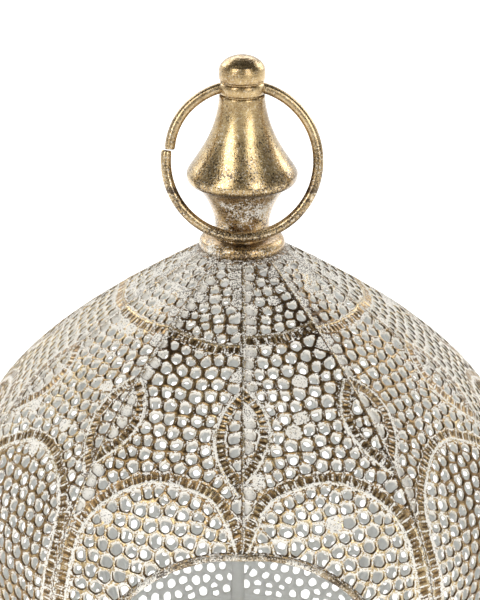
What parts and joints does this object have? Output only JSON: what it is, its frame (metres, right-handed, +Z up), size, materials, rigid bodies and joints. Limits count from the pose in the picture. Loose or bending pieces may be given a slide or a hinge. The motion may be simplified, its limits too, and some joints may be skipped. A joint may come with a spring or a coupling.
{
  "type": "pierced metal lantern",
  "caption": "Dome-shaped pierced sheet-metal candle lantern with an arched front window, a turned finial and a swinging lifting ring.",
  "frame": {"origin": "centre of the base's underside, on the surface that the lantern stands on", "axes": "+Z up through the finial; the front window faces -Y; +X is to the right seen from the front"},
  "size_m": [0.235, 0.2324, 0.3167],
  "materials": {
    "body_sheet": "white-washed antique brass sheet, chalky with bare metal on the ridges",
    "antique_brass": "aged, speckled, half gloss",
    "wired_edge": "aged, dull, with traces of white",
    "inner_sheet": "flat pale grey",
    "zinc_hardware": "zinc plated, dull"
  },
  "bodies": {
    "lantern": {"gore_01": "body_sheet", "gore_02": "body_sheet", "gore_03": "body_sheet", "gore_04": "body_sheet", "gore_05": "body_sheet", "gore_06": "body_sheet", "gore_07": "body_sheet", "gore_08": "body_sheet", "gore_09": "body_sheet", "gore_10": "body_sheet", "window_rim": "wired_edge", "base_hoop": "antique_brass", "base_bead": "antique_brass", "collar_bead": "antique_brass", "finial_foot": "antique_brass", "finial_bell": "antique_brass", "finial_knob": "antique_brass", "drip_pan": "antique_brass", "candle_cup": "antique_brass", "base_floor": "inner_sheet", "crown_cap": "inner_sheet", "pan_rivets": "zinc_hardware", "rod_washer": "zinc_hardware", "rod_nut": "zinc_hardware", "tie_rod": "zinc_hardware"},
    "ring": {"lifting_ring": "antique_brass"}
  },
  "joints": [
    {"name": "ring_swing", "type": "hinge", "parent": "lantern", "child": "ring", "pos_m": [0, 0, 0.3044], "axis": [-1, 0, 0], "range_deg": [0, 333]}
  ]
}
